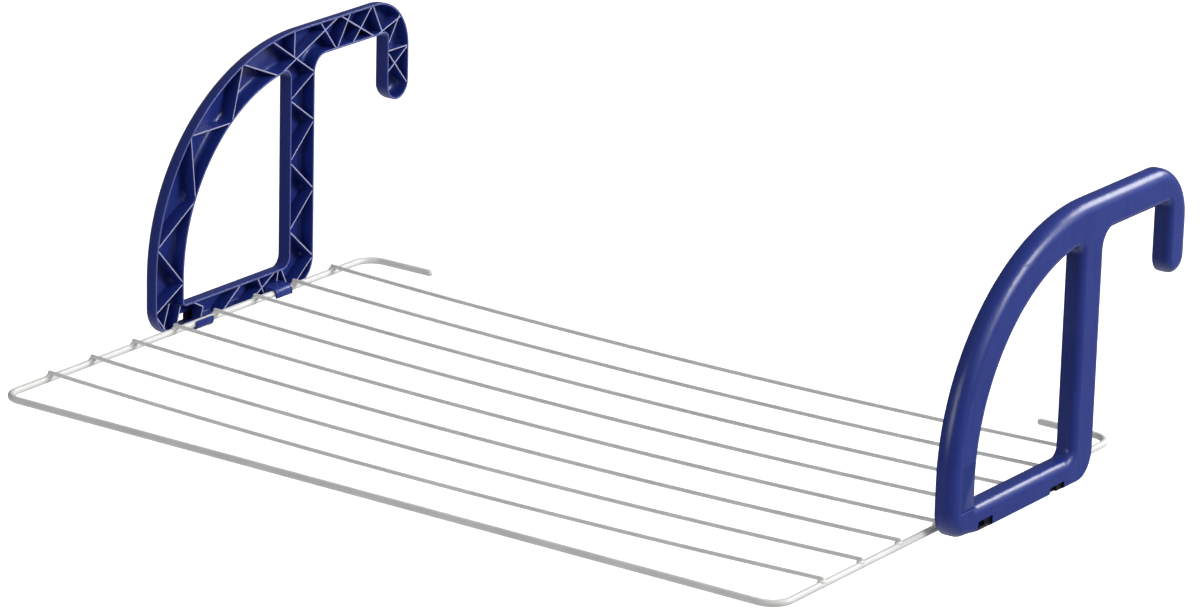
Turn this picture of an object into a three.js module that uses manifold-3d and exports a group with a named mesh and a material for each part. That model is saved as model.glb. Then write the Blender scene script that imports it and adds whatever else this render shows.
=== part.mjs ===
// Hook-over drying rack: a white coated wire grid hung between two mirrored plastic brackets.
// Millimetres. X runs along the drying lines, Y away from the user, Z up.
// Origin: mid-width, where the rail's top (Z = 0) meets the front face that the posts lean on (Y = 0).
import * as THREE from 'three';
import { mergeVertices } from 'three/addons/utils/BufferGeometryUtils.js';
import Module from 'manifold-3d';

const wasm = await Module();
wasm.setup();

// ---------- driving dimensions: wire grid ----------
const lineCount = 8;
const linePitch = 55;
const lineLength = 778;
const lineGauge = 3.5;
const lineSag = 7;
const lineRise = 10.7; // drying lines above the underside of the bracket feet
const lastLineSetback = 18.3; // last drying line behind the bearing face of the posts
const frameGauge = 6;
const frontGap = 61; // front bar to the first drying line
const rearGap = 52; // last drying line to the rear stubs
const stubLength = 72;
const bendRadius = 18;
const weldGap = 0.3;

// ---------- driving dimensions: bracket outline, seen from the side ----------
const armHeight = 30;
const throatWidth = 105;
const throatCorner = 5;
const lipWidth = 31.2;
const lipDrop = 65;
const hookRadius = 48;
const neckRadius = 15;
const postWidth = 34.5;
const footDrop = 206.5;
const footRearRadius = 24;
const footFrontRadius = 25;
const frontReach = 219;
const arcSetback = 19.5; // centre of the arcs, in front of the bearing face
const arcDrop = 155; // centre of the outer arc, below the rail's top
const innerArcDrop = 162;
const frontLegWidth = 38.4;
const crownHeight = 34; // arm's top down to the crown of the inner arc
const baseHeight = 22;
const openingTopRadius = 7;
const openingRearRadius = 9;
const openingFrontRadius = 4;

// ---------- driving dimensions: bracket section ----------
const bracketDepth = 16;
const wall = 2.4;
const ribThickness = 1.2;
const outerRound = 11;
const innerRound = 6;
const foldClearance = 0.7; // open rim to the drying lines when folded flat

// ---------- driving dimensions: clips, slots behind them and the blank badge recess ----------
const clipWidth = 22;
const clipWall = 2;
const clipClearance = 0.3;
const clipToLine = 9; // a clip's rear end in front of the next drying line
const lipRise = 3.4; // a clip's free edge beyond the wire's centre
const slotHeightFront = 8.6;
const slotHeightRear = 6.5;
const badgeWidth = 19;
const badgeHeight = 39;
const badgeDepth = 0.6;
const badgeRise = 21.5; // badge above the foot's underside
const badgeMargin = 4; // badge to the edge of the opening

// ---------- faceting ----------
const wireSides = 12;
const lineSides = 8;
const lineSteps = 12;
const bendSteps = 6;
const arcSteps = 24;
const cornerSteps = 6;
const roundSteps = 3;

// ---------- places that follow from them ----------
const footZ = -footDrop;
const lineZ = footZ + lineRise;
const lineY = (index) => lastLineSetback - (lineCount - 1 - index) * linePitch;
const frameRadius = frameGauge / 2;
const frameZ = lineZ - lineGauge / 2 - weldGap - frameRadius;
const endInset = 1; // line ends stop short of the side wire's outer edge
const sideX = lineLength / 2 + endInset - frameRadius;
const frontBarY = lineY(0) - frontGap;
const rearStubY = lineY(lineCount - 1) + rearGap;
// Folded inwards, the open rim comes to rest just above the drying lines.
const rimX = sideX + frameRadius + weldGap + lineGauge + foldClearance;
const faceX = rimX + bracketDepth;
const clipBefore = (index) => lineY(index) - clipToLine - clipWidth / 2;
const frontClipY = clipBefore(4);
const rearClipY = clipBefore(6);
const lipRearY = throatWidth + lipWidth;

// ---------- shared helpers ----------
function toSolid(geometry) {
  const bare = geometry.clone();
  bare.deleteAttribute('normal');
  bare.deleteAttribute('uv');
  const merged = mergeVertices(bare, 1e-4);
  const vertProperties = new Float32Array(merged.attributes.position.array);
  const triVerts = new Uint32Array(merged.index.array);
  return new wasm.Manifold(new wasm.Mesh({ numProp: 3, vertProperties, triVerts }));
}

function toGeometry(solid) {
  const mesh = solid.getMesh();
  const geometry = new THREE.BufferGeometry();
  geometry.setAttribute('position', new THREE.BufferAttribute(mesh.vertProperties, 3));
  geometry.setIndex(new THREE.BufferAttribute(mesh.triVerts, 1));
  return geometry;
}

function mirroredInX(geometry) {
  const mirrored = geometry.clone().scale(-1, 1, 1);
  const index = mirrored.index.array;
  for (let i = 0; i < index.length; i += 3) {
    const second = index[i + 1];
    index[i + 1] = index[i + 2];
    index[i + 2] = second;
  }
  mirrored.computeVertexNormals();
  return mirrored;
}

// A side-view shape (Y, Z) made solid from X = from to X = to, its edges rounded by `round`.
const sideView = new THREE.Matrix4().makeBasis(
  new THREE.Vector3(0, 1, 0),
  new THREE.Vector3(0, 0, 1),
  new THREE.Vector3(1, 0, 0),
);

function slab(shape, from, to, round = 0) {
  const geometry = new THREE.ExtrudeGeometry(shape, {
    depth: to - from - 2 * round,
    bevelEnabled: round > 0,
    bevelThickness: round,
    bevelSize: round,
    bevelOffset: -round,
    bevelSegments: roundSteps,
  });
  geometry.applyMatrix4(sideView);
  geometry.translate(from + round, 0, 0);
  return toSolid(geometry);
}

function block(x0, x1, y0, y1, z0, z1) {
  const geometry = new THREE.BoxGeometry(x1 - x0, y1 - y0, z1 - z0);
  geometry.translate((x0 + x1) / 2, (y0 + y1) / 2, (z0 + z1) / 2);
  return toSolid(geometry);
}

// ---------- wire grid ----------
const coatedWire = () => new THREE.MeshStandardMaterial({ color: 0xf2f1ec, roughness: 0.35 });

// A path of straight runs joined by round bends. Straights take one step and bends several.
class BentWire extends THREE.Curve {
  constructor(corners, radius) {
    super();
    this.stations = [corners[0]];
    for (let i = 1; i < corners.length - 1; i += 1) {
      const toward = corners[i - 1].clone().sub(corners[i]).normalize();
      const away = corners[i + 1].clone().sub(corners[i]).normalize();
      const centre = corners[i].clone().addScaledVector(toward, radius).addScaledVector(away, radius);
      for (let k = 0; k <= bendSteps; k += 1) {
        const turn = ((k / bendSteps) * Math.PI) / 2;
        const point = centre.clone();
        point.addScaledVector(away, -radius * Math.cos(turn));
        point.addScaledVector(toward, -radius * Math.sin(turn));
        this.stations.push(point);
      }
    }
    this.stations.push(corners[corners.length - 1]);
  }

  get steps() {
    return this.stations.length - 1;
  }

  getPoint(t, target = new THREE.Vector3()) {
    const place = Math.min(t, 1) * this.steps;
    const first = Math.min(Math.floor(place), this.steps - 1);
    return target.lerpVectors(this.stations[first], this.stations[first + 1], place - first);
  }

  getPointAt(u, target) {
    return this.getPoint(u, target);
  }

  // At a station the tangent halves the angle between the runs on either side.
  getTangentAt(u, target = new THREE.Vector3()) {
    const station = Math.round(u * this.steps);
    const before = this.stations[Math.max(station - 1, 0)];
    const here = this.stations[station];
    const after = this.stations[Math.min(station + 1, this.steps)];
    target.copy(here).sub(before).normalize();
    const onward = after.clone().sub(here).normalize();
    return target.add(onward).normalize();
  }
}

function roundSection(radius, sides) {
  const section = new THREE.Shape();
  for (let i = 0; i < sides; i += 1) {
    const angle = (i / sides) * 2 * Math.PI;
    const x = radius * Math.cos(angle);
    const y = radius * Math.sin(angle);
    if (i === 0) section.moveTo(x, y);
    else section.lineTo(x, y);
  }
  return section;
}

function wireAlong(path, gauge, sides, steps) {
  const section = roundSection(gauge / 2, sides);
  return new THREE.ExtrudeGeometry(section, { steps, extrudePath: path, bevelEnabled: false });
}

function frameWire() {
  const plan = [
    [sideX - stubLength, rearStubY],
    [sideX, rearStubY],
    [sideX, frontBarY],
    [-sideX, frontBarY],
    [-sideX, rearStubY],
    [-sideX + stubLength, rearStubY],
  ];
  const corners = plan.map(([x, y]) => new THREE.Vector3(x, y, frameZ));
  const path = new BentWire(corners, bendRadius);
  return wireAlong(path, frameGauge, wireSides, path.steps);
}

// A drying line hangs in a shallow bow between the side wires, as a parabola of depth lineSag.
function dryingLine(y) {
  const half = lineLength / 2;
  const start = new THREE.Vector3(-half, y, lineZ);
  const pull = new THREE.Vector3(0, y, lineZ - 2 * lineSag);
  const end = new THREE.Vector3(half, y, lineZ);
  const bow = new THREE.QuadraticBezierCurve3(start, pull, end);
  return wireAlong(bow, lineGauge, lineSides, lineSteps);
}

// ---------- bracket outline ----------
const quarter = Math.PI / 2;

// Points (Y, Z) of an arc or a stretch of an ellipse.
function arc(y, z, radiusY, radiusZ, from, to, steps = cornerSteps) {
  const clockwise = to < from;
  return new THREE.EllipseCurve(y, z, radiusY, radiusZ, from, to, clockwise).getPoints(steps);
}

function outerArc(inset) {
  const reach = frontReach - arcSetback - inset;
  const rise = armHeight + arcDrop - inset;
  return arc(-arcSetback, -arcDrop, reach, rise, Math.PI, quarter, arcSteps);
}

function hookCorner(inset) {
  const radius = hookRadius - inset;
  return arc(lipRearY - hookRadius, armHeight - hookRadius, radius, radius, quarter, 0, arcSteps / 2);
}

// The whole side view: arc, arm, hook with its round-ended lip, throat, post and foot.
function bracketShape(inset) {
  const lipEnd = lipWidth / 2;
  const endRadius = lipEnd - inset;
  const throatRadius = throatCorner + inset;
  const neck = neckRadius + inset;
  const rearFoot = footRearRadius - inset;
  const frontFoot = footFrontRadius - inset;
  return new THREE.Shape([
    ...outerArc(inset),
    ...hookCorner(inset),
    ...arc(lipRearY - lipEnd, lipEnd - lipDrop, endRadius, endRadius, 0, -Math.PI, 2 * cornerSteps),
    ...arc(throatWidth - throatCorner, -throatCorner, throatRadius, throatRadius, 0, quarter),
    ...arc(neckRadius, -neckRadius, neck, neck, quarter, Math.PI),
    ...arc(-footRearRadius, footZ + footRearRadius, rearFoot, rearFoot, 0, -quarter),
    ...arc(footFrontRadius - frontReach, footZ + footFrontRadius, frontFoot, frontFoot, -quarter, -Math.PI),
  ]);
}

// Only the back of the bracket, from the foot's front corner over the arm to the lip: it has the large
// rounding. Behind the front corner it drops away below the foot, so that the rounding fades out.
function backShape(inset) {
  const low = footZ - outerRound;
  const cornerY = footFrontRadius - frontReach;
  const frontFoot = footFrontRadius - inset;
  return new THREE.Shape([
    new THREE.Vector2(lipRearY - inset, low),
    new THREE.Vector2(cornerY + 2 * outerRound, low),
    ...arc(cornerY, footZ + footFrontRadius, frontFoot, frontFoot, -quarter, -Math.PI),
    ...outerArc(inset),
    ...hookCorner(inset),
  ]);
}

// The D-shaped opening between post, base, front leg and arc, grown by `grow`.
function openingShape(grow) {
  const reach = frontReach - arcSetback - frontLegWidth;
  const rise = armHeight - crownHeight + innerArcDrop;
  const cornerY = -postWidth - openingTopRadius;
  const turn = Math.acos((cornerY + arcSetback) / (reach - openingTopRadius));
  const cornerZ = (rise - openingTopRadius) * Math.sin(turn) - innerArcDrop;
  const top = openingTopRadius + grow;
  const rear = openingRearRadius + grow;
  const front = openingFrontRadius + grow;
  const rearY = -postWidth - openingRearRadius;
  const frontY = frontLegWidth - frontReach + openingFrontRadius;
  const baseZ = footZ + baseHeight;
  return new THREE.Shape([
    ...arc(cornerY, cornerZ, top, top, 0, turn),
    ...arc(-arcSetback, -innerArcDrop, reach + grow, rise + grow, turn, Math.PI, arcSteps),
    ...arc(frontY, baseZ + openingFrontRadius, front, front, Math.PI, 3 * quarter),
    ...arc(rearY, baseZ + openingRearRadius, rear, rear, -quarter, 0),
  ]);
}

// ---------- ribs ----------
// Rib corners lie on the outer arc, the inner arc or the straight walls, as (Y, Z).
function onOuterArc(angle) {
  const turn = THREE.MathUtils.degToRad(angle);
  const reach = frontReach - arcSetback;
  const rise = armHeight + arcDrop;
  return [-arcSetback - reach * Math.cos(turn), rise * Math.sin(turn) - arcDrop];
}

function onInnerArc(angle) {
  const turn = THREE.MathUtils.degToRad(angle);
  const reach = frontReach - arcSetback - frontLegWidth;
  const rise = armHeight - crownHeight + innerArcDrop;
  return [-arcSetback - reach * Math.cos(turn), rise * Math.sin(turn) - innerArcDrop];
}

// Shares run along the throat, down the post, down the lip and forwards along the foot.
const onArmTop = (share) => [share * throatWidth, armHeight];
const onThroat = (share) => [share * throatWidth, 0];
const onPostRear = (share) => [0, share * (footZ + baseHeight)];
const onPostFront = (share) => [-postWidth, share * (footZ + baseHeight)];
const onLipFront = (share) => [throatWidth, -share * lipDrop];
const onLipRear = (share) => [lipRearY, -share * lipDrop];
const onBaseTop = (share) => [-share * frontReach, footZ + baseHeight];
const onFoot = (share) => [-share * frontReach, footZ];
const between = ([y0, z0], [y1, z1], share) => [y0 + share * (y1 - y0), z0 + share * (z1 - z0)];
const legCorner = [-frontReach, footZ + baseHeight];

const ribLines = [
  // arc, from the crown down to the foot
  [onInnerArc(79), onOuterArc(66), onInnerArc(53.5), onOuterArc(40.5), onInnerArc(25.5), onOuterArc(9)],
  [onOuterArc(9), onInnerArc(-1), legCorner, onFoot(0.917)],
  // post
  [onPostRear(0.075), onPostFront(0.178), onPostRear(0.312), onPostFront(0.484), onPostRear(0.655)],
  [onPostRear(0.655), onPostFront(0.827), onPostRear(0.993), onFoot(0.14)],
  // crossing where the post, the arc and the arm meet
  [onInnerArc(79), onArmTop(0.34)],
  [onArmTop(-0.63), onPostRear(0.075)],
  [onArmTop(-0.27), between(onArmTop(-0.63), onPostRear(0.075), 0.56)],
  // arm
  [onArmTop(0.07), onThroat(0.3), onArmTop(0.49)],
  [onArmTop(0.34), onThroat(0.83), between(onLipRear(0), onArmTop(1.3), 0.5)],
  [onThroat(0.51), onArmTop(0.79), onLipFront(0.2)],
  // lip
  [onLipFront(0.2), between(onThroat(1.165), onArmTop(1.165), 0.43)],
  [onLipFront(0.58), onLipRear(0.27), onLipFront(0.27), onLipRear(0.83)],
  // base
  [onBaseTop(0.846), onFoot(0.874)],
  [between(onFoot(0.915), onBaseTop(0.915), 1.27), onFoot(0.961)],
  [onBaseTop(0.772), between(onFoot(0.703), onBaseTop(0.703), 0.64), onFoot(0.726)],
  [onFoot(0.602), onBaseTop(0.46)],
  [onFoot(0.423), onBaseTop(0.239)],
  [onBaseTop(0.359), onFoot(0.303)],
  [onBaseTop(0.225), between(onFoot(0.234), onBaseTop(0.234), 0.55)],
  [onBaseTop(0.207), onFoot(0.156)],
];

function rib([y0, z0], [y1, z1]) {
  const length = Math.hypot(y1 - y0, z1 - z0);
  const geometry = new THREE.BoxGeometry(2 * bracketDepth, length, ribThickness);
  geometry.rotateX(Math.atan2(z1 - z0, y1 - y0));
  geometry.translate(faceX - bracketDepth, (y0 + y1) / 2, (z0 + z1) / 2);
  return toSolid(geometry);
}

function ribs() {
  let all = null;
  for (const line of ribLines) {
    for (let i = 1; i < line.length; i += 1) {
      const next = rib(line[i - 1], line[i]);
      all = all ? all.add(next) : next;
    }
  }
  return all;
}

// ---------- clips ----------
// A clip is a U round the side wire on an arm from the outer wall, seen along Y.
// side = -1 cups the wire from below, +1 from above.
function clip(centreY, side) {
  const inner = frameRadius + clipClearance;
  const outer = inner + clipWall;
  const heel = rimX + wall;
  const root = faceX - wall / 2;
  const mouth = -side * lipRise;
  const points = [
    new THREE.Vector2(root, side * outer),
    ...arc(sideX, 0, outer, outer, side * quarter, side * Math.PI),
    new THREE.Vector2(sideX - outer, mouth),
    new THREE.Vector2(sideX - inner, mouth),
    ...arc(sideX, 0, inner, inner, side * Math.PI, 0, 2 * cornerSteps),
    new THREE.Vector2(heel, 0),
    new THREE.Vector2(heel, side * inner),
    new THREE.Vector2(root, side * inner),
  ];
  const shape = new THREE.Shape(points);
  const geometry = new THREE.ExtrudeGeometry(shape, { depth: clipWidth, bevelEnabled: false });
  geometry.rotateX(quarter);
  geometry.translate(0, centreY + clipWidth / 2, frameZ);
  return toSolid(geometry);
}

// Slot in the outer wall behind a clip, open at the foot's underside.
function slot(centreY, height) {
  const half = clipWidth / 2;
  return block(faceX - wall, faceX + 1, centreY - half, centreY + half, footZ - 1, footZ + height);
}

// ---------- bracket ----------
function rightBracket() {
  const inside = rimX - 2 * bracketDepth;
  const ribSpace = block(rimX, faceX + 1, -2 * frontReach, 2 * lipRearY, 2 * footZ, 2 * armHeight);
  const outline = slab(bracketShape(0), inside, faceX, innerRound);
  const back = slab(backShape(0), inside, faceX, outerRound);
  const opening = slab(openingShape(0), inside, faceX + 1);
  const core = outline.intersect(back).subtract(opening).intersect(ribSpace);

  const floorX = faceX - wall;
  const innerOutline = slab(bracketShape(wall), inside, floorX, innerRound - wall);
  const innerBack = slab(backShape(wall), inside, floorX, outerRound - wall);
  const openingWall = slab(openingShape(wall), inside - 1, faceX + 1);
  const hollow = innerOutline.intersect(innerBack).subtract(openingWall).subtract(ribs());

  const badgeRearY = frontLegWidth - frontReach - badgeMargin;
  const badgeZ = footZ + badgeRise;
  const badge = block(
    faceX - badgeDepth,
    faceX + 1,
    badgeRearY - badgeWidth,
    badgeRearY,
    badgeZ,
    badgeZ + badgeHeight,
  );
  return core
    .subtract(hollow)
    .subtract(slot(frontClipY, slotHeightFront))
    .subtract(slot(rearClipY, slotHeightRear))
    .subtract(badge)
    .add(clip(frontClipY, -1))
    .add(clip(rearClipY, 1));
}

// ---------- assembly ----------
const bracketPlastic = () => new THREE.MeshStandardMaterial({ color: 0x2f3a86, roughness: 0.38 });
const group = new THREE.Group();

function place(name, geometry, material) {
  const mesh = new THREE.Mesh(geometry, material);
  mesh.name = name;
  group.add(mesh);
}

place('frame_wire', frameWire(), coatedWire());
for (let i = 0; i < lineCount; i += 1) {
  place(`drying_line_${i + 1}`, dryingLine(lineY(i)), coatedWire());
}
const bracket = toGeometry(rightBracket());
bracket.computeVertexNormals();
place('right_bracket', bracket, bracketPlastic());
place('left_bracket', mirroredInX(bracket), bracketPlastic());

export default group;
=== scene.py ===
import math

import bmesh
import bpy
from mathutils import Matrix, Vector, noise


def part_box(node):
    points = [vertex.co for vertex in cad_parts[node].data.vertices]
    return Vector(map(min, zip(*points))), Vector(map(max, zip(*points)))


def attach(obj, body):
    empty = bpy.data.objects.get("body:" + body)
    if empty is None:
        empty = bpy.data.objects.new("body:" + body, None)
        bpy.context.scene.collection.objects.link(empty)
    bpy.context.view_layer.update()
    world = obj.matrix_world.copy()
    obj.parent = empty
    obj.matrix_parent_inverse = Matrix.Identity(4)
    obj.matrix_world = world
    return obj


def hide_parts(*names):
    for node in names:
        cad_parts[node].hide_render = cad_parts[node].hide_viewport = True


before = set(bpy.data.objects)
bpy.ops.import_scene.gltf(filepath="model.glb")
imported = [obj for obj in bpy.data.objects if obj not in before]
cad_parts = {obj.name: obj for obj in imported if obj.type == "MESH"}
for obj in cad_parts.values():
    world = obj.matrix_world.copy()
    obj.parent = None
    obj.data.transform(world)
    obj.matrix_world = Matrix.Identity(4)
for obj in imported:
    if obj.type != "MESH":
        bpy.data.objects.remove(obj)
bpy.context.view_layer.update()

# ---------- camera ----------
# A long lens to the right of the rack and above it, turned a little about its own line of sight.
mm = 0.001
turn = math.radians(34.905)
dip = math.radians(17.905)
roll = math.radians(1.519)
camera_place = Vector((2.6210, -3.8751, 1.3621))
lens_length = 173.72
sensor_width = 36

ahead = Vector((-math.sin(turn) * math.cos(dip), math.cos(turn) * math.cos(dip), -math.sin(dip)))
level = Vector((math.cos(turn), math.sin(turn), 0))
overhead = level.cross(ahead)
to_right = math.cos(roll) * level + math.sin(roll) * overhead
to_top = math.cos(roll) * overhead - math.sin(roll) * level
camera_turn = Matrix((to_right, to_top, -ahead)).transposed().to_4x4()

lens = bpy.data.cameras.new("camera")
lens.lens = lens_length
lens.sensor_width = sensor_width
camera = bpy.data.objects.new("camera", lens)
camera.matrix_world = Matrix.Translation(camera_place) @ camera_turn
bpy.context.scene.collection.objects.link(camera)
bpy.context.scene.camera = camera

# ---------- bent frame wire ----------
# One 6 mm steel wire, bent flat round all four corners and dipped in white plastic. Its two ends
# stop short of each other at the rear, each rounded off by the coating.
wire_sides = 28
bend_steps = 18
bend_radius = 18 * mm
stub_length = 72 * mm
dome_steps = 5
dome_tip = 0.02
merge_gap = 1e-7
sharp_angle = math.radians(34)
shaded_white = (0.80, 0.80, 0.785, 1)
clean_white = (0.87, 0.87, 0.86, 1)


class Link:
    """A shader socket that takes part in sums. Each sum adds its Math node."""

    def __init__(self, finish, socket):
        self.finish = finish
        self.socket = socket

    def math(self, operation, *values):
        return self.finish.node("ShaderNodeMath", {"operation": operation}, dict(enumerate(values)))

    def __add__(self, other):
        return self.math("ADD", self, other)

    def __mul__(self, other):
        return self.math("MULTIPLY", self, other)

    __radd__ = __add__
    __rmul__ = __mul__

    def size(self):
        return self.math("ABSOLUTE", self)

    def rise(self, low, high):
        """0 below low, 1 above high, smooth between; falls instead where low is the larger."""
        settings = {"interpolation_type": "SMOOTHSTEP"}
        return self.finish.node("ShaderNodeMapRange", settings, {0: self, 1: low, 2: high, 3: 0.0, 4: 1.0})

    def band(self, low, low_full, high_full, high):
        """1 from low_full to high_full, falling smoothly to 0 at low and at high."""
        return self.rise(low, low_full) * self.rise(high, high_full)


class Finish:
    """A material that starts with the Principled shader and gets its nodes one at a time."""

    def __init__(self, name):
        self.material = bpy.data.materials.new(name)
        self.material.use_nodes = True
        self.tree = self.material.node_tree
        self.shader = self.tree.nodes["Principled BSDF"]
        self.place = self.node("ShaderNodeTexCoord", output="Object")
        self.facing = self.node("ShaderNodeTexCoord", output="Normal")

    def feed(self, socket, value):
        if isinstance(value, Link):
            self.tree.links.new(value.socket, socket)
        else:
            socket.default_value = value

    def node(self, kind, settings=None, sockets=None, output=0):
        made = self.tree.nodes.new(kind)
        for key, value in (settings or {}).items():
            setattr(made, key, value)
        for key, value in (sockets or {}).items():
            self.feed(made.inputs[key], value)
        return Link(self, made.outputs[output])

    def shade(self, **sockets):
        for name, value in sockets.items():
            self.feed(self.shader.inputs[name.replace("_", " ")], value)

    def noise(self, grain, detail=2.0, stretch=(1, 1, 1)):
        """Noise from 0 to 1 whose lumps are about one grain across, drawn out along the axes by stretch."""
        scale = Vector(1 / s for s in stretch)
        sockets = {"Vector": self.place, "Scale": scale}
        point = self.node("ShaderNodeMapping", {"vector_type": "POINT"}, sockets)
        return self.node("ShaderNodeTexNoise", {}, {"Vector": point, "Scale": 1 / grain, "Detail": detail})

    def parts(self, vector):
        """The three components of a vector."""
        return [self.node("ShaderNodeSeparateXYZ", {}, {0: vector}, output=axis) for axis in range(3)]

    def mix(self, share, low, high):
        """A colour between two others."""
        return self.node("ShaderNodeMix", {"data_type": "RGBA"}, {0: share, 6: low, 7: high}, output=2)

    def raise_by(self, height, depth, under=None):
        """A bump in the surface: height runs from 0 to 1 and stands for depth in metres."""
        sockets = {"Height": height, "Distance": depth, "Strength": 1.0}
        if under is not None:
            sockets["Normal"] = under
        return self.node("ShaderNodeBump", {}, sockets)


def coated_wire_finish():
    finish = Finish("coated_wire")
    cloud = finish.noise(30 * mm, 3)
    dimple = finish.noise(1.6 * mm, 2)
    speck = finish.noise(0.35 * mm, 1)
    finish.shade(
        Base_Color=finish.mix(cloud.rise(0.3, 0.7), shaded_white, clean_white),
        Roughness=0.27 + 0.16 * cloud + 0.05 * speck,
        Normal=finish.raise_by(speck, 0.02 * mm, finish.raise_by(dimple, 0.10 * mm)),
    )
    finish.shader.inputs["Specular IOR Level"].default_value = 0.45
    return finish.material


def show(name, mesh, body, slot, material, *nodes):
    """Makes the piece of a finished mesh, with its joins and poles closed and its faces outward."""
    bmesh.ops.remove_doubles(mesh, verts=mesh.verts[:], dist=merge_gap)
    bmesh.ops.recalc_face_normals(mesh, faces=mesh.faces[:])
    for face in mesh.faces:
        face.smooth = True
        face.material_index = 0
    for edge in mesh.edges:
        edge.smooth = len(edge.link_faces) == 2 and edge.calc_face_angle(0) < sharp_angle
    data = bpy.data.meshes.new(name)
    mesh.to_mesh(data)
    mesh.free()
    data.materials.append(material)
    piece = bpy.data.objects.new(name, data)
    bpy.context.scene.collection.objects.link(piece)
    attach(piece, body)
    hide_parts(*nodes)


def ring_of(mesh, centre, axis, radius, sides):
    """A ring of edges round a wire."""
    turned = Vector((0, 0, 1)).rotation_difference(axis).to_matrix().to_4x4()
    place = Matrix.Translation(centre) @ turned
    made = bmesh.ops.create_circle(mesh, segments=sides, radius=radius, matrix=place)
    return list({edge for vert in made["verts"] for edge in vert.link_edges})


def push(mesh, ring, step):
    """Draws a ring of edges out along a step and returns the new ring."""
    made = bmesh.ops.extrude_edge_only(mesh, edges=ring)["geom"]
    verts = [item for item in made if isinstance(item, bmesh.types.BMVert)]
    bmesh.ops.translate(mesh, verts=verts, vec=step)
    edges = [item for item in made if isinstance(item, bmesh.types.BMEdge)]
    return [edge for edge in edges if all(vert in verts for vert in edge.verts)]


def swing(mesh, ring, centre, axis, angle, steps):
    """Sweeps a ring of edges round a bend and returns the new ring."""
    made = bmesh.ops.spin(mesh, geom=ring, cent=centre, axis=axis, angle=angle, steps=steps)["geom_last"]
    return [item for item in made if isinstance(item, bmesh.types.BMEdge)]


def round_off(mesh, ring, outward, radius, steps=dome_steps):
    """Closes the end of a wire with a dome."""
    middle = sum((v.co for edge in ring for v in edge.verts), Vector()) / (2 * len(ring))
    here = 0.0
    for step in range(1, steps + 1):
        angle = step / steps * math.pi / 2
        rise = radius * math.sin(angle)
        ring = push(mesh, ring, outward * (rise - here))
        verts = list({v for edge in ring for v in edge.verts})
        before = (step - 1) / steps * math.pi / 2
        shrink = max(math.cos(angle), dome_tip) / max(math.cos(before), dome_tip)
        space = Matrix.Translation(-middle - outward * rise)
        bmesh.ops.scale(mesh, vec=(shrink,) * 3, verts=verts, space=space)
        here = rise
    bmesh.ops.edgeloop_fill(mesh, edges=ring)


coated_wire = coated_wire_finish()

frame_low, frame_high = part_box("frame_wire")
frame_radius = (frame_high.z - frame_low.z) / 2
frame_height = (frame_high.z + frame_low.z) / 2
side_x = frame_high.x - frame_radius
front_y = frame_low.y + frame_radius
rear_y = frame_high.y - frame_radius

along_x = Vector((1, 0, 0))
along_y = Vector((0, 1, 0))
upward = Vector((0, 0, 1))


def bent_frame():
    mesh = bmesh.new()
    start = Vector((side_x - stub_length + frame_radius, rear_y, frame_height))
    ring = ring_of(mesh, start, along_x, frame_radius, wire_sides)
    first = ring
    inner_x = side_x - bend_radius
    run_x = stub_length - frame_radius - bend_radius
    run_y = rear_y - front_y - 2 * bend_radius
    width = 2 * inner_x
    quarter = -math.pi / 2
    legs = [
        (along_x * run_x, (inner_x, rear_y - bend_radius)),
        (-along_y * run_y, (inner_x, front_y + bend_radius)),
        (-along_x * width, (-inner_x, front_y + bend_radius)),
        (along_y * run_y, (-inner_x, rear_y - bend_radius)),
    ]
    for run, (x, y) in legs:
        ring = push(mesh, ring, run)
        ring = swing(mesh, ring, (x, y, frame_height), upward, quarter, bend_steps)
    ring = push(mesh, ring, along_x * run_x)
    round_off(mesh, ring, along_x, frame_radius)
    round_off(mesh, first, -along_x, frame_radius)
    return mesh


show("frame_wire_coated", bent_frame(), "grid", "coated_wire", coated_wire, "frame_wire")

# ---------- drying lines ----------
# Eight thinner wires of the same white coated steel, resting on the side wires with their ends
# spot-welded to them. Each hangs in a slight bow under its own pull.
line_count = 8
line_sides = 18
line_steps = 36
line_dome_steps = 4


def drying_line(low, high, gauge):
    mesh = bmesh.new()
    radius = gauge / 2
    y = (low.y + high.y) / 2
    half = high.x
    sag = high.z - low.z - gauge
    level_z = high.z - radius
    straight = half - radius
    ring = ring_of(mesh, Vector((-straight, y, level_z)), along_x, radius, line_sides)
    first = ring
    for _ in range(line_steps):
        ring = push(mesh, ring, along_x * 2 * straight / line_steps)
    round_off(mesh, ring, along_x, radius, line_dome_steps)
    round_off(mesh, first, -along_x, radius, line_dome_steps)
    for vert in mesh.verts:
        vert.co.z -= sag * (1 - min(abs(vert.co.x) / half, 1) ** 2)
    return mesh


for index in range(1, line_count + 1):
    node = f"drying_line_{index}"
    low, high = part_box(node)
    line = drying_line(low, high, high.y - low.y)
    show(f"{node}_coated", line, "grid", "coated_wire", coated_wire, node)

# ---------- weld beads ----------
# The plastic coating gathers round each spot weld, where a drying line rests on a side wire, and
# fills the corners between the two wires.
bead_length = 4.6 * mm
bead_width = 3.1 * mm
bead_height = 2.3 * mm
bead_inset = 0.3 * mm
bead_sink = 0.6 * mm
bead_unevenness = 0.10
bead_grain = 1.3


def weld_beads():
    mesh = bmesh.new()
    for index in range(1, line_count + 1):
        low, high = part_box(f"drying_line_{index}")
        y = (low.y + high.y) / 2
        seat = frame_height + frame_radius
        for side in (-1, 1):
            made = bmesh.ops.create_icosphere(mesh, subdivisions=3, radius=1)["verts"]
            for vert in made:
                bump = 1 + bead_unevenness * noise.noise(vert.co * bead_grain + Vector((index, side, 0)))
                vert.co = Vector((
                    side * (side_x - bead_inset) + vert.co.x * bead_width * bump,
                    y + vert.co.y * bead_length * bump,
                    seat - bead_sink + vert.co.z * bead_height * bump,
                ))
    return mesh


show("weld_beads", weld_beads(), "grid", "coated_wire", coated_wire)

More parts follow.
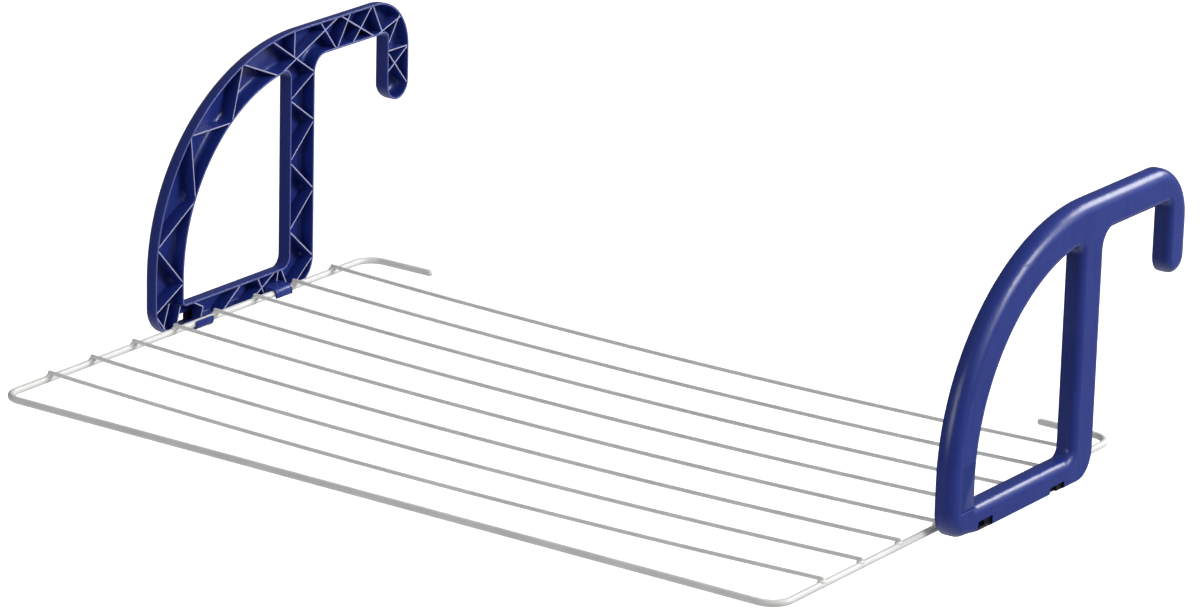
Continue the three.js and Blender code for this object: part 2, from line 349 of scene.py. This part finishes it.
# ---------- hooked bracket: shell ----------
# An injection-moulded plastic bracket with one open side: a thin wall round its outline and round
# its D-shaped opening, joined by a flat face on the outer side. The back of the bracket, from the
# front leg over the arm to the lip, is rounded wide, and every other edge only a little.
bracket_low, bracket_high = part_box("right_bracket")
face_x = bracket_high.x
bracket_depth = 16 * mm
rim_x = face_x - bracket_depth
arm_height = bracket_high.z
foot_z = -206.5 * mm
front_y_end = bracket_low.y
lip_rear_y = bracket_high.y
throat_width = 105 * mm
lip_width = lip_rear_y - throat_width
lip_drop = 65 * mm
throat_corner = 5 * mm
hook_radius = 48 * mm
neck_radius = 15 * mm
post_width = 34.5 * mm
foot_rear_radius = 24 * mm
foot_front_radius = 25 * mm
arc_y = -19.5 * mm
arc_z = -155 * mm
inner_arc_z = -162 * mm
leg_width = 38.4 * mm
crown_height = 34 * mm
base_height = 22 * mm
opening_top_radius = 7 * mm
opening_rear_radius = 9 * mm
opening_front_radius = 4 * mm

wall = 2.4 * mm
wide_round = 11 * mm
small_round = 6 * mm
foot_round = 2 * mm
corner_round = 8 * mm
rim_round = 0.6 * mm
border = 0.8 * mm
draft = 0.5 * mm
opening_round = 7.5 * mm
fade_length = 22 * mm
fade_steps = 6
least_fillet = 1 * mm
least_core_round = 0.5 * mm
core_drop = 0.3 * mm
floor_x = face_x - wall


class Trace:
    """A closed line drawn on the rim's plane by runs and turns; each corner keeps its edge rounding."""

    def __init__(self, y, z, rounding):
        self.mesh = bmesh.new()
        self.layer = self.mesh.verts.layers.float.new("rounding")
        self.order = self.mesh.verts.layers.int.new("order")
        self.ends = self.mesh.edges.layers.int.new("end")
        self.first = self.mesh.verts.new((rim_x, y, z))
        self.first[self.layer] = rounding
        self.end = self.first

    def run(self, y, z, rounding=None):
        made = bmesh.ops.extrude_vert_indiv(self.mesh, verts=[self.end])["verts"][0]
        made.co = (rim_x, y, z)
        made[self.layer] = self.end[self.layer] if rounding is None else rounding
        self.end = made

    def turn(self, y, z, degrees, steps, rounding=None, squeeze=1.0):
        """An arc about a centre, squeezed in height where it is part of an ellipse."""
        centre = Vector((rim_x, y, z))
        start = self.end
        start_arm = start.co - centre
        before = start[self.layer]
        after = before if rounding is None else rounding
        known = set(self.mesh.verts)
        axis = (1, 0, 0)
        made = bmesh.ops.spin(
            self.mesh, geom=[start], cent=centre, axis=axis, angle=math.radians(degrees), steps=steps
        )["geom_last"]
        self.end = next(item for item in made if isinstance(item, bmesh.types.BMVert))
        fresh = [vert for vert in self.mesh.verts if vert not in known]
        for vert in fresh:
            share = start_arm.angle(vert.co - centre) / math.radians(abs(degrees))
            share = share * share * (3 - 2 * share)
            vert[self.layer] = before + (after - before) * share
        bmesh.ops.scale(self.mesh, vec=(1, 1, squeeze), verts=fresh, space=Matrix.Translation(-centre))

    def close(self):
        self.mesh.edges.new((self.end, self.first))
        return self


def outline():
    """The outer line: up the front leg, over the arc and the arm, round the hook, and back along the post."""
    reach = arc_y - front_y_end
    line = Trace(front_y_end, arc_z, wide_round)
    line.turn(arc_y, arc_z, -90, 44, squeeze=(arm_height - arc_z) / reach)
    line.run(lip_rear_y - hook_radius, arm_height)
    line.turn(lip_rear_y - hook_radius, arm_height - hook_radius, -90, 22)
    line.run(lip_rear_y, lip_width / 2 - lip_drop)
    line.turn(lip_rear_y - lip_width / 2, lip_width / 2 - lip_drop, -180, 26, small_round)
    line.run(throat_width, -throat_corner)
    line.turn(throat_width - throat_corner, -throat_corner, 90, 7)
    line.run(neck_radius, 0)
    line.turn(neck_radius, -neck_radius, 90, 12)
    line.run(0, foot_z + foot_rear_radius)
    line.turn(-foot_rear_radius, foot_z + foot_rear_radius, -90, 14, foot_round)
    front_corner = front_y_end + foot_front_radius
    for step in range(fade_steps + 1):
        share = step / fade_steps
        rounding = foot_round + (corner_round - foot_round) * share * share * (3 - 2 * share)
        line.run(front_corner + fade_length * (1 - share), foot_z, rounding)
    line.turn(front_corner, foot_z + foot_front_radius, -90, 18, wide_round)
    return line.close()


def opening():
    """The D-shaped opening: up its arc, down the post, and back over the base."""
    reach = arc_y - front_y_end - leg_width
    rise = arm_height - crown_height - inner_arc_z
    front = front_y_end + leg_width
    base_z = foot_z + base_height
    corner_y = -post_width - opening_top_radius
    lean = math.acos((corner_y - arc_y) / (reach - opening_top_radius))
    corner_z = (rise - opening_top_radius) * math.sin(lean) + inner_arc_z
    turned = 180 - math.degrees(lean)
    line = Trace(front, inner_arc_z, opening_round)
    line.turn(arc_y, inner_arc_z, -turned, 36, squeeze=rise / reach)
    line.turn(corner_y, corner_z, -math.degrees(lean), 9)
    line.run(-post_width, base_z + opening_rear_radius)
    line.turn(-post_width - opening_rear_radius, base_z + opening_rear_radius, -90, 9)
    line.run(front + opening_front_radius, base_z)
    line.turn(front + opening_front_radius, base_z + opening_front_radius, -90, 6)
    return line.close()


def shell_section(rounding):
    """(depth, inset) from the cavity's floor over the rim to the outer face, for one edge rounding."""
    fillet = max(rounding - wall, least_fillet)
    steps = [(floor_x, wall + fillet + border)]
    for step in range(6):
        angle = step / 5 * math.pi / 2
        steps.append((floor_x - fillet * (1 - math.cos(angle)), wall + fillet * (1 - math.sin(angle))))
    top = wall - draft
    for step in range(4):
        angle = step / 3 * math.pi / 2
        steps.append((rim_x + rim_round * (1 - math.sin(angle)), top - rim_round * (1 - math.cos(angle))))
    for step in range(4):
        angle = step / 3 * math.pi / 2
        steps.append((rim_x + rim_round * (1 - math.cos(angle)), rim_round * (1 - math.sin(angle))))
    for step in range(10):
        angle = step / 9 * math.pi / 2
        steps.append((face_x - rounding * (1 - math.sin(angle)), rounding * (1 - math.cos(angle))))
    steps.append((face_x, rounding + border))
    return steps


def core_section(rounding):
    """(depth, inset) of the space that the ribs may fill: half a wall inside the shell's own surface."""
    half = wall / 2
    inner = max(rounding - half, least_core_round)
    steps = [(rim_x + core_drop, half)]
    for step in range(7):
        angle = step / 6 * math.pi / 2
        steps.append((face_x - half - inner * (1 - math.sin(angle)), half + inner * (1 - math.cos(angle))))
    return steps


def sweep(line, into_shape, section):
    """Carries a traced line through a section, and marks its first ring of edges 1 and its last 2."""
    mesh = line.mesh
    order = line.order
    corner = line.first
    edge = corner.link_edges[0]
    ring = []
    while corner not in ring:
        ring.append(corner)
        corner = edge.other_vert(corner)
        edge = next(other for other in corner.link_edges if other != edge)
    count = len(ring)
    pairs = zip(ring, ring[1:] + ring[:1])
    area = sum(vert.co.y * after.co.z - after.co.y * vert.co.z for vert, after in pairs)
    hand = math.copysign(1, area) * into_shape
    inward = []
    sections = []
    for i, vert in enumerate(ring):
        vert[order] = i
        after = (ring[i - count + 1].co - vert.co).normalized()
        before = (vert.co - ring[i - 1].co).normalized()
        side = after + before
        side = Vector((0, -side.z, side.y)).normalized() * hand
        lean = side.dot(Vector((0, -after.z, after.y)) * hand)
        inward.append(side / lean)
        sections.append(section(vert[line.layer]))
    flat = [vert.co.copy() for vert in ring]

    def settle(verts, step):
        for vert in verts:
            i = vert[order]
            depth, inset = sections[i][step]
            vert.co = flat[i] + inward[i] * inset
            vert.co.x = depth

    first = mesh.edges[:]
    settle(ring, 0)
    last = first
    for step in range(1, len(sections[0])):
        last = push(mesh, last, Vector())
        settle({vert for edge in last for vert in edge.verts}, step)
    for edge in mesh.edges:
        edge[line.ends] = 0
    for edge in first:
        edge[line.ends] = 1
    for edge in last:
        edge[line.ends] = 2
    return mesh


def joined(section):
    """A solid between the outline and the opening, closed by flat faces at the section's two ends."""
    solid = bmesh.new()
    for mesh in (sweep(outline(), 1, section), sweep(opening(), -1, section)):
        data = bpy.data.meshes.new("part")
        mesh.to_mesh(data)
        mesh.free()
        solid.from_mesh(data)
        bpy.data.meshes.remove(data)
    mark = solid.edges.layers.int["end"]
    for end in (1, 2):
        edges = [edge for edge in solid.edges if edge[mark] == end]
        bmesh.ops.triangle_fill(solid, edges=edges, use_beauty=True)
    bmesh.ops.recalc_face_normals(solid, faces=solid.faces[:])
    return solid


def solid_object(name, mesh):
    data = bpy.data.meshes.new(name)
    mesh.to_mesh(data)
    mesh.free()
    made = bpy.data.objects.new(name, data)
    bpy.context.scene.collection.objects.link(made)
    return made


def combine(base, tool, operation):
    """Joins or cuts two solids exactly, keeps the result in the first and removes the second."""
    step = base.modifiers.new("join", "BOOLEAN")
    step.operation = operation
    step.object = tool
    step.solver = "EXACT"
    step.use_self = True
    evaluated = base.evaluated_get(bpy.context.evaluated_depsgraph_get())
    result = bpy.data.meshes.new_from_object(evaluated)
    base.modifiers.clear()
    old = base.data
    base.data = result
    bpy.data.meshes.remove(old)
    bpy.data.objects.remove(tool)
    return base


shell = solid_object("shell", joined(shell_section))

# ---------- hooked bracket: ribs ----------
# Thin ribs moulded across the open side stiffen the bracket. They zigzag between its two walls,
# cross in the arm, and stand as high as the rim.
rib_thickness = 1.2 * mm
rib_round = 0.25 * mm
rib_drop = 0.4 * mm


def on_arc(height, reach, rise, degrees):
    angle = math.radians(degrees)
    return (arc_y - reach * math.cos(angle), height + rise * math.sin(angle))


def outer_arc(degrees):
    return on_arc(arc_z, arc_y - front_y_end, arm_height - arc_z, degrees)


def inner_arc(degrees):
    rise = arm_height - crown_height - inner_arc_z
    return on_arc(inner_arc_z, arc_y - front_y_end - leg_width, rise, degrees)


def arm_top(share):
    return (share * throat_width, arm_height)


def throat(share):
    return (share * throat_width, 0)


def post_rear(share):
    return (0, share * (foot_z + base_height))


def post_front(share):
    return (-post_width, share * (foot_z + base_height))


def lip_front(share):
    return (throat_width, -share * lip_drop)


def lip_rear(share):
    return (lip_rear_y, -share * lip_drop)


def base_top(share):
    return (share * front_y_end, foot_z + base_height)


def foot(share):
    return (share * front_y_end, foot_z)


def between(start, end, share):
    return tuple(a + share * (b - a) for a, b in zip(start, end))


rib_lines = [
    # arc, from the crown down to the foot
    [inner_arc(79), outer_arc(66), inner_arc(53.5), outer_arc(40.5), inner_arc(25.5), outer_arc(9)],
    [outer_arc(9), inner_arc(-1), (front_y_end, foot_z + base_height), foot(0.917)],
    # post
    [post_rear(0.075), post_front(0.178), post_rear(0.312), post_front(0.484), post_rear(0.655)],
    [post_rear(0.655), post_front(0.827), post_rear(0.993), foot(0.14)],
    # crossing where the post, the arc and the arm meet
    [inner_arc(79), arm_top(0.34)],
    [arm_top(-0.63), post_rear(0.075)],
    [arm_top(-0.27), between(arm_top(-0.63), post_rear(0.075), 0.56)],
    # arm
    [arm_top(0.07), throat(0.3), arm_top(0.49)],
    [arm_top(0.34), throat(0.83), between(lip_rear(0), arm_top(1.3), 0.5)],
    [throat(0.51), arm_top(0.79), lip_front(0.2)],
    # lip
    [lip_front(0.2), between(throat(1.165), arm_top(1.165), 0.43)],
    [lip_front(0.58), lip_rear(0.27), lip_front(0.27), lip_rear(0.83)],
    # base
    [base_top(0.846), foot(0.874)],
    [between(foot(0.915), base_top(0.915), 1.27), foot(0.961)],
    [base_top(0.772), between(foot(0.703), base_top(0.703), 0.64), foot(0.726)],
    [foot(0.602), base_top(0.46)],
    [foot(0.423), base_top(0.239)],
    [base_top(0.359), foot(0.303)],
    [base_top(0.225), between(foot(0.234), base_top(0.234), 0.55)],
    [base_top(0.207), foot(0.156)],
]


def ribs():
    mesh = bmesh.new()
    for line in rib_lines:
        for (y0, z0), (y1, z1) in zip(line, line[1:]):
            length = math.hypot(y1 - y0, z1 - z0)
            lean = Matrix.Rotation(math.atan2(z1 - z0, y1 - y0), 4, "X")
            middle = Vector((rim_x + bracket_depth / 2, (y0 + y1) / 2, (z0 + z1) / 2))
            made = bmesh.ops.create_cube(mesh, size=1)["verts"]
            bmesh.ops.scale(mesh, vec=(bracket_depth, length, rib_thickness), verts=made)
            long_edges = [
                edge for edge in {edge for vert in made for edge in vert.link_edges}
                if all(vert.co.x < 0 for vert in edge.verts) and edge.calc_length() > rib_thickness * 1.5
            ]
            bmesh.ops.transform(mesh, matrix=Matrix.Translation(middle) @ lean, verts=made)
            bmesh.ops.bevel(
                mesh, geom=long_edges, offset=rib_round, segments=3, profile=0.5,
                affect="EDGES", offset_type="OFFSET", material=-1,
            )
    bmesh.ops.recalc_face_normals(mesh, faces=mesh.faces[:])
    bmesh.ops.translate(mesh, vec=(rib_drop, 0, 0), verts=mesh.verts[:])
    return mesh


rib_set = combine(solid_object("ribs", ribs()), solid_object("core", joined(core_section)), "INTERSECT")

# ---------- hooked bracket: slots and blank badge recess ----------
# Two slots through the outer face let the mould reach behind the clips. The shallow recess on the
# front leg is left blank.
clip_width = 22 * mm
clip_to_line = 9 * mm
front_slot_height = 8.6 * mm
rear_slot_height = 6.5 * mm
slot_web = 1.9 * mm
slot_window = 12.5 * mm
badge_width = 19 * mm
badge_height = 39 * mm
badge_depth = 0.8 * mm
badge_rise = 21.5 * mm
badge_margin = 4 * mm
badge_slope = 0.5 * mm
slot_depth = wall + 1.5 * mm
slot_overrun = 2 * mm
cutter_overlap = 1 * mm
cutter_round = 0.8 * mm


def clip_before(node):
    """The middle of a clip that ends just in front of a drying line."""
    low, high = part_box(node)
    return (low.y + high.y) / 2 - clip_to_line - clip_width / 2


front_clip_y = clip_before("drying_line_5")
rear_clip_y = clip_before("drying_line_7")


def cutter(low, high, widen=0.0):
    """A block between two corners, wider by widen at its outer end."""
    mesh = bmesh.new()
    made = bmesh.ops.create_cube(mesh, size=1)["verts"]
    for vert in made:
        grow = widen if vert.co.x > 0 else 0
        vert.co = Vector((
            high.x if vert.co.x > 0 else low.x,
            high.y + grow if vert.co.y > 0 else low.y - grow,
            high.z + grow if vert.co.z > 0 else low.z - grow,
        ))
    corners = [edge for edge in mesh.edges if abs(edge.verts[0].co.x - edge.verts[1].co.x) > 1e-6]
    bmesh.ops.bevel(
        mesh, geom=corners, offset=cutter_round, segments=4, profile=0.5, affect="EDGES",
        offset_type="OFFSET", material=-1,
    )
    return mesh


slots = ((front_clip_y, front_slot_height), (rear_clip_y, rear_slot_height))
for middle, height in slots:
    front_end = middle - clip_width / 2
    for reach, length in ((slot_web, clip_width), (slot_depth, slot_window)):
        low = Vector((face_x - reach, front_end, foot_z - slot_overrun))
        high = Vector((face_x + cutter_overlap, front_end + length, foot_z + height))
        combine(shell, solid_object("slot", cutter(low, high)), "DIFFERENCE")

badge_rear = front_y_end + leg_width - badge_margin
badge_low = Vector((face_x - badge_depth, badge_rear - badge_width, foot_z + badge_rise))
badge_high = Vector((face_x + cutter_overlap, badge_rear, foot_z + badge_rise + badge_height))
combine(shell, solid_object("badge", cutter(badge_low, badge_high, badge_slope)), "DIFFERENCE")

# ---------- hooked bracket: clips ----------
# Two springy clips, moulded with the bracket, snap round the side wire: the front one cups it from
# below and the rear one saddles it from above, each with a low collar round its rear end. The
# bracket folds by turning in them.
clip_wall = 2 * mm
clip_clearance = 0.3 * mm
lip_rise = 3.4 * mm
collar = 0.3 * mm
collar_width = 2.6 * mm
clip_round = 0.35 * mm
clip_sharp_angle = math.radians(50)


def clip_body(middle, side, width, raised=0.0):
    """A clip's section, traced in the rim's plane and then turned to run along the side wire."""
    inner = frame_radius + clip_clearance + raised
    outer = frame_radius + clip_clearance + clip_wall + raised
    root = face_x - wall / 2 - side_x
    heel = rim_x + wall - side_x
    mouth = -side * lip_rise
    line = Trace(root, side * inner, 0)
    line.run(root, side * outer)
    line.run(0, side * outer)
    line.turn(0, 0, side * 90, 12)
    line.run(-outer, mouth)
    line.run(-inner, mouth)
    line.run(-inner, 0)
    line.turn(0, 0, -side * 180, 20)
    line.run(heel, 0)
    line.run(heel, side * inner)
    line.close()
    mesh = line.mesh
    bmesh.ops.contextual_create(mesh, geom=mesh.edges[:])
    made = bmesh.ops.extrude_face_region(mesh, geom=mesh.faces[:])["geom"]
    verts = [item for item in made if isinstance(item, bmesh.types.BMVert)]
    bmesh.ops.translate(mesh, vec=(width, 0, 0), verts=verts)
    bmesh.ops.translate(mesh, vec=(-rim_x - width / 2, 0, 0), verts=mesh.verts[:])
    bmesh.ops.rotate(mesh, matrix=Matrix.Rotation(-math.pi / 2, 3, "Z"), verts=mesh.verts[:])
    bmesh.ops.translate(mesh, vec=(side_x, middle, frame_height), verts=mesh.verts[:])
    bmesh.ops.recalc_face_normals(mesh, faces=mesh.faces[:])
    edges = [edge for edge in mesh.edges if edge.calc_face_angle(0) > clip_sharp_angle]
    bmesh.ops.bevel(
        mesh, geom=edges, offset=clip_round, segments=3, profile=0.5, affect="EDGES",
        offset_type="OFFSET", clamp_overlap=True, material=-1,
    )
    return mesh


for middle, side in ((front_clip_y, -1), (rear_clip_y, 1)):
    combine(rib_set, solid_object("clip", clip_body(middle, side, clip_width)), "UNION")
    rear_end = middle + (clip_width - collar_width) / 2
    combine(rib_set, solid_object("collar", clip_body(rear_end, side, collar_width, collar)), "UNION")

bracket = combine(shell, rib_set, "UNION")

# ---------- hooked bracket: the two brackets ----------
# The brackets are mirror images of each other, moulded in one satin royal blue plastic.
deep_blue = (0.015, 0.032, 0.228, 1)
royal_blue = (0.019, 0.038, 0.252, 1)
# Painted shade: a darker blue for the floor of the shallow badge recess, standing in for the shade there.
recess_shade_blue = (0.007, 0.026, 0.205, 1)
slot_shadow = (0.002, 0.003, 0.012, 1)
# Painted highlights: pale lavender on the rib tops and along the rim's edge, where the narrow rounded edges
# catch the light.
rim_highlight_tint = (0.16, 0.17, 0.45, 1)
rim_highlight_strength = 0.55
rib_top_highlight_tint = (0.44, 0.44, 0.64, 1)
badge_fade = 1 * mm
slot_fade = 0.4 * mm


def plastic_finish():
    finish = Finish("bracket_plastic")
    grain = finish.noise(0.7 * mm, 2)
    cloud = finish.noise(45 * mm, 3)
    flow = finish.noise(9 * mm, 2, (1, 1, 5))
    across, along, up = finish.parts(finish.place)
    facing = finish.parts(finish.facing)[0].size().rise(0.5, 0.8)
    depth = across.size()
    # Painted highlight: rib tops that face along the open side are lightened as if catching the light.
    rib_top_highlight = depth.band(rim_x + 0.26 * mm, rim_x + 0.32 * mm, rim_x + 0.8 * mm, rim_x + 1.0 * mm)
    rib_top_highlight = rib_top_highlight * facing * (0.8 + 0.4 * grain)
    # Painted highlight along the rim's edge.
    rim = depth.band(rim_x - 1 * mm, rim_x - 0.5 * mm, rim_x + 0.15 * mm, rim_x + 0.25 * mm) * facing
    # Painted shade: the floor of the badge recess is painted a darker blue.
    recess = depth.band(face_x - 1.8 * mm, face_x - 1.4 * mm, face_x - 0.5 * mm, face_x - 0.2 * mm)
    recess = recess * along.band(
        badge_low.y - badge_fade, badge_low.y, badge_high.y, badge_high.y + badge_fade
    )
    recess = recess * up.band(badge_low.z - badge_fade, badge_low.z, badge_high.z, badge_high.z + badge_fade)
    outside = depth.rise(face_x - 3 * mm, face_x - 0.5 * mm)
    seat = up.band(-1.5 * mm, -0.2 * mm, 0.2 * mm, 1 * mm)
    body = finish.mix(cloud.rise(0.25, 0.75), deep_blue, royal_blue)
    body = finish.mix(recess, body, recess_shade_blue)
    for middle, height in slots:
        start = middle - clip_width / 2
        end = middle + clip_width / 2
        top = foot_z + height
        inside = along.band(start - slot_fade, start, end, end + slot_fade)
        inside = inside * up.rise(top + slot_fade, top)
        inside = inside * depth.band(face_x - 7 * mm, face_x - 5 * mm, face_x - 0.8 * mm, face_x - 0.3 * mm)
        body = finish.mix(inside, body, slot_shadow)
    body = finish.mix(rim_highlight_strength * rim, body, rim_highlight_tint)
    finish.shade(
        Base_Color=finish.mix(rib_top_highlight, body, rib_top_highlight_tint),
        Roughness=0.23 + 0.12 * outside + 0.08 * flow + 0.05 * grain + 0.12 * seat,
        Normal=finish.raise_by(grain, 0.03 * mm, finish.raise_by(flow, 0.25 * mm)),
    )
    finish.shader.inputs["Specular IOR Level"].default_value = 0.5
    return finish.material


bracket_plastic = plastic_finish()


def bracket_copy(mirrored):
    mesh = bmesh.new()
    mesh.from_mesh(bracket.data)
    if mirrored:
        bmesh.ops.scale(mesh, vec=(-1, 1, 1), verts=mesh.verts[:])
    return mesh


for side, mirrored in (("right", False), ("left", True)):
    node = f"{side}_bracket"
    show(f"{node}_moulding", bracket_copy(mirrored), node, "bracket_plastic", bracket_plastic, node)
bpy.data.objects.remove(bracket)

# ---------- floor, world and lights ----------
# A pale studio floor well below the rack and a surround that is pale below and dim above. Two strong
# soft lights stand behind and to the right, with weaker ones overhead, in front and low behind.
floor_drop = -0.75
floor_size = 60


def stage_floor():
    mesh = bmesh.new()
    bmesh.ops.create_grid(mesh, x_segments=1, y_segments=1, size=floor_size / 2)
    bmesh.ops.translate(mesh, vec=(0, 0, floor_drop), verts=mesh.verts[:])
    data = bpy.data.meshes.new("floor")
    mesh.to_mesh(data)
    mesh.free()
    finish = Finish("floor_paint")
    cloud = finish.noise(0.4, 2)
    pale = finish.mix(cloud, (0.88, 0.88, 0.88, 1), (0.9, 0.9, 0.9, 1))
    finish.shade(Base_Color=pale, Emission_Color=pale, Emission_Strength=0.9, Roughness=0.9)
    data.materials.append(finish.material)
    floor = bpy.data.objects.new("floor", data)
    bpy.context.scene.collection.objects.link(floor)
    floor.visible_glossy = False
    floor.visible_diffuse = False


def soft_light(name, place, aim, width, height, power):
    lamp = bpy.data.lights.new(name, "AREA")
    lamp.shape = "RECTANGLE"
    lamp.size = width
    lamp.size_y = height
    lamp.energy = power
    made = bpy.data.objects.new(name, lamp)
    turned = (aim - place).to_track_quat("-Z", "Y").to_matrix().to_4x4()
    made.matrix_world = Matrix.Translation(place) @ turned
    made.visible_camera = False
    bpy.context.scene.collection.objects.link(made)


stage_floor()

world = bpy.data.worlds.new("surround")
world.use_nodes = True
sky = world.node_tree
background = sky.nodes["Background"]
direction = sky.nodes.new("ShaderNodeTexCoord")
height = sky.nodes.new("ShaderNodeSeparateXYZ")
shades = sky.nodes.new("ShaderNodeValToRGB")
sky.links.new(direction.outputs["Generated"], height.inputs[0])
half = sky.nodes.new("ShaderNodeMath")
half.operation = "MULTIPLY_ADD"
half.inputs[1].default_value = 0.5
half.inputs[2].default_value = 0.5
sky.links.new(height.outputs["Z"], half.inputs[0])
sky.links.new(half.outputs[0], shades.inputs[0])
sky.links.new(shades.outputs[0], background.inputs["Color"])
ramp = shades.color_ramp
ramp.elements[0].position = 0.0
ramp.elements[0].color = (1.0, 1.0, 1.0, 1)
ramp.elements[1].position = 0.22
ramp.elements[1].color = (0.36, 0.36, 0.37, 1)
for position, level in ((0.33, 0.10), (0.60, 0.14), (1.0, 0.20)):
    ramp.elements.new(position).color = (level, level, level, 1)
background.inputs["Strength"].default_value = 1.0
bpy.context.scene.world = world

middle = Vector((0.2, -0.1, -0.1))
soft_light("back_light", middle + 4 * Vector((0.30, 0.80, 0.50)), middle, 1.7, 1.3, 80)
soft_light("key_light", middle + 4 * Vector((0.80, 0.35, 0.45)), middle, 1.4, 1.4, 105)
soft_light("top_light", middle + 3.5 * Vector((0.78, -0.09, 0.59)), middle, 2.0, 2.0, 9)
soft_light("front_light", middle + 4.5 * Vector((0.06, -0.95, 0.28)), middle, 2.2, 2.2, 55)
soft_light("low_light", Vector((0.62, 1.41, -0.66)), Vector((-0.4, -0.1, -0.1)), 0.35, 0.8, 1.0)

bpy.context.scene.view_settings.view_transform = "Standard"
